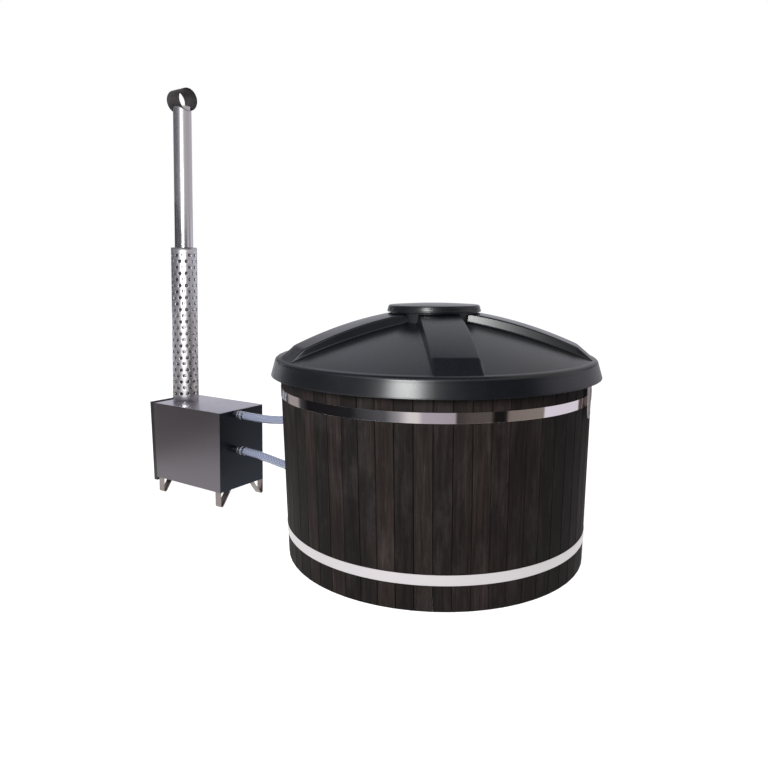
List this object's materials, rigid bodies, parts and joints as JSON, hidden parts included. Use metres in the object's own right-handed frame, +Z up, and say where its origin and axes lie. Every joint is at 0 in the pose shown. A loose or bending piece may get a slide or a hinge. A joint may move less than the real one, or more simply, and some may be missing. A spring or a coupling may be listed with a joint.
{
  "type": "wooden hot tub",
  "caption": "Round stave-built hot tub with steel bands, a ribbed domed lid and an outside wood-fired water heater with flue, joined by hoses.",
  "frame": {"origin": "on the ground, on the tub's vertical axis, in the plane of the bearers' undersides", "axes": "+Z up; the heater stands on the -X side; +Y completes a right-handed frame"},
  "size_m": [3.1412, 1.8489, 2.8635],
  "materials": {
    "stained_wood": "dark stained, satin",
    "base_wood": "rough sawn",
    "bench_wood": "planed",
    "polished_steel": "mirror polished",
    "satin_steel": "satin",
    "fastener_steel": "bright",
    "clamp_steel": "bright",
    "heater_steel": "dark brushed",
    "black_steel": "black",
    "firebox_steel": "heat darkened",
    "grate_iron": "cast",
    "foot_steel": "satin",
    "cowl_steel": "dark brushed",
    "dark_fitting": "threaded",
    "valve_brass": "plated brass",
    "lever_coating": "dipped coating",
    "lid_plastic": "semi-gloss",
    "insert_plastic": "smooth",
    "foam": "foam",
    "gasket_rope": "woven rope",
    "hose_pvc": "clear reinforced"
  },
  "bodies": {
    "root": {"staves": "stained_wood", "port_stave": "stained_wood", "upper_band": "polished_steel", "lower_band": "satin_steel", "band_lugs": "satin_steel", "band_bolts": "fastener_steel", "bearers": "base_wood", "floor_boards": "base_wood", "tub_insert": "insert_plastic", "insert_floor": "insert_plastic", "bench_slats": "bench_wood", "bench_frames": "bench_wood", "wall_fittings": "dark_fitting", "port_strainers": "polished_steel", "drain_pipe": "satin_steel", "drain_strainer": "polished_steel", "valve_body": "valve_brass", "casing": "heater_steel", "end_panel": "heater_steel", "top_plate": "heater_steel", "front_frame": "heater_steel", "front_plate": "black_steel", "firebox": "firebox_steel", "baffle_plate": "firebox_steel", "grate": "grate_iron", "drawer_runners": "firebox_steel", "heater_feet": "foot_steel", "hinge_lugs": "black_steel", "hinge_pins": "fastener_steel", "flue_collar": "black_steel", "flue_pipe_lower": "polished_steel", "flue_pipe_upper": "polished_steel", "shield_spacers": "fastener_steel", "heat_shield": "polished_steel", "flue_cowl": "cowl_steel", "hose_nipples": "dark_fitting", "hose_clamps": "clamp_steel", "upper_hose": "hose_pvc", "lower_hose": "hose_pvc"},
    "lid": {"lid_shell": "lid_plastic", "lid_cap": "lid_plastic", "lid_foam": "foam", "lid_liner": "lid_plastic", "strap_brackets": "satin_steel", "strap_pins": "fastener_steel"},
    "strap_right": {"strap_right": "satin_steel"},
    "strap_left": {"strap_left": "satin_steel"},
    "fire_door": {"fire_door": "black_steel", "door_gasket": "gasket_rope", "door_baffle": "firebox_steel", "door_handle": "fastener_steel"},
    "ash_drawer": {"ash_drawer": "black_steel", "drawer_guides": "black_steel"},
    "air_slide": {"air_slide": "fastener_steel"},
    "drain_lever": {"drain_lever": "lever_coating", "valve_ball": "polished_steel"}
  },
  "joints": [
    {"name": "lid_lift", "type": "slide", "parent": "root", "child": "lid", "axis": [0, 0, 1], "range_m": [0, 0.45]},
    {"name": "strap_right_swing", "type": "hinge", "parent": "lid", "child": "strap_right", "pos_m": [0.8718, 0.04569, 0.9997], "axis": [0.0523, -0.9986, 0], "range_deg": [0, 60]},
    {"name": "strap_left_swing", "type": "hinge", "parent": "lid", "child": "strap_left", "pos_m": [-0.8718, -0.04569, 0.9997], "axis": [-0.0523, 0.9986, 0], "range_deg": [0, 60]},
    {"name": "fire_door_swing", "type": "hinge", "parent": "root", "child": "fire_door", "pos_m": [-2.15848, 0.061, 0.37943], "axis": [0.061, 0, -0.9981], "range_deg": [0, 110]},
    {"name": "ash_drawer_slide", "type": "slide", "parent": "root", "child": "ash_drawer", "axis": [-1, 0, 0], "range_m": [0, 0.38]},
    {"name": "air_slide_travel", "type": "slide", "parent": "ash_drawer", "child": "air_slide", "axis": [0, -1, 0], "range_m": [0, 0.022]},
    {"name": "drain_lever_turn", "type": "hinge", "parent": "root", "child": "drain_lever", "pos_m": [-0.13685, 0.86405, 0.043], "axis": [0, 0, -1], "range_deg": [0, 90]}
  ]
}
